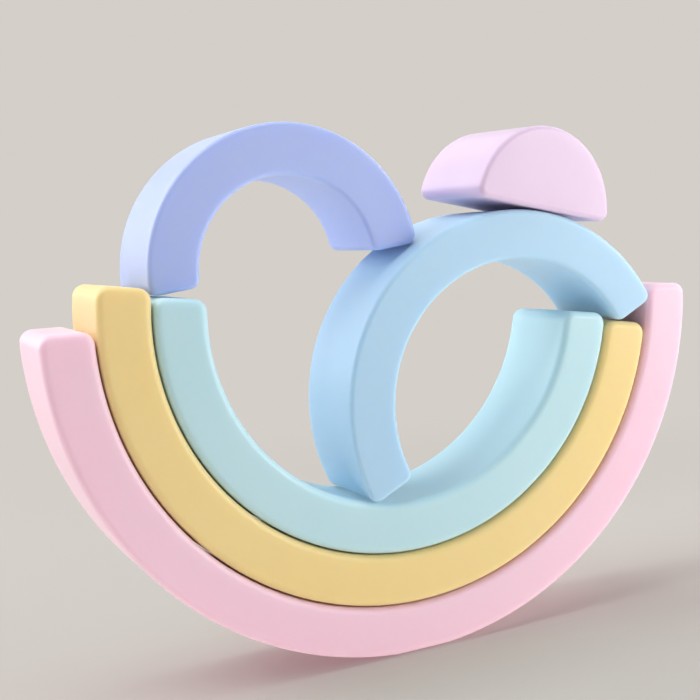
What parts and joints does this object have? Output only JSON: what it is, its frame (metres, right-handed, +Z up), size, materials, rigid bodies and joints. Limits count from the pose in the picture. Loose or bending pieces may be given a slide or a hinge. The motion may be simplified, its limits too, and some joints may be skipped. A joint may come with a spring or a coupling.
{
  "type": "stacking toy",
  "caption": "Silicone rainbow stacking toy: half-ring arches nested as a rocking bowl, which carries smaller arches and a half-moon; every piece lifts off.",
  "frame": {"origin": "on the floor, at the middle of the strip on which the pink arch rests, under the axis of the nested arches", "axes": "+X to the right and +Y to the back as seen from the front of the stack, +Z up; the axis of the nested arches runs along Y"},
  "size_m": [0.1399, 0.0298, 0.1068],
  "materials": {
    "pink_silicone": "matte",
    "yellow_silicone": "matte",
    "mint_silicone": "matte",
    "blue_silicone": "matte",
    "periwinkle_silicone": "matte",
    "lilac_silicone": "matte"
  },
  "bodies": {
    "pink": {"pink_arch": "pink_silicone"},
    "yellow": {"yellow_arch": "yellow_silicone"},
    "mint": {"mint_arch": "mint_silicone"},
    "blue": {"blue_arch": "blue_silicone"},
    "periwinkle": {"periwinkle_arch": "periwinkle_silicone"},
    "half_moon": {"lilac_half_moon": "lilac_silicone"}
  },
  "joints": [
    {"name": "yellow_lift", "type": "slide", "parent": "pink", "child": "yellow", "axis": [0, 0, 1], "range_m": [0, 0.066]},
    {"name": "mint_lift", "type": "slide", "parent": "yellow", "child": "mint", "axis": [0, 0, 1], "range_m": [0, 0.062]},
    {"name": "blue_lift", "type": "slide", "parent": "mint", "child": "blue", "axis": [0, 0, 1], "range_m": [0, 0.05]},
    {"name": "periwinkle_lift", "type": "slide", "parent": "blue", "child": "periwinkle", "axis": [0, 0, 1], "range_m": [0, 0.035]},
    {"name": "half_moon_lift", "type": "slide", "parent": "blue", "child": "half_moon", "axis": [0, 0, 1], "range_m": [0, 0.03]}
  ]
}
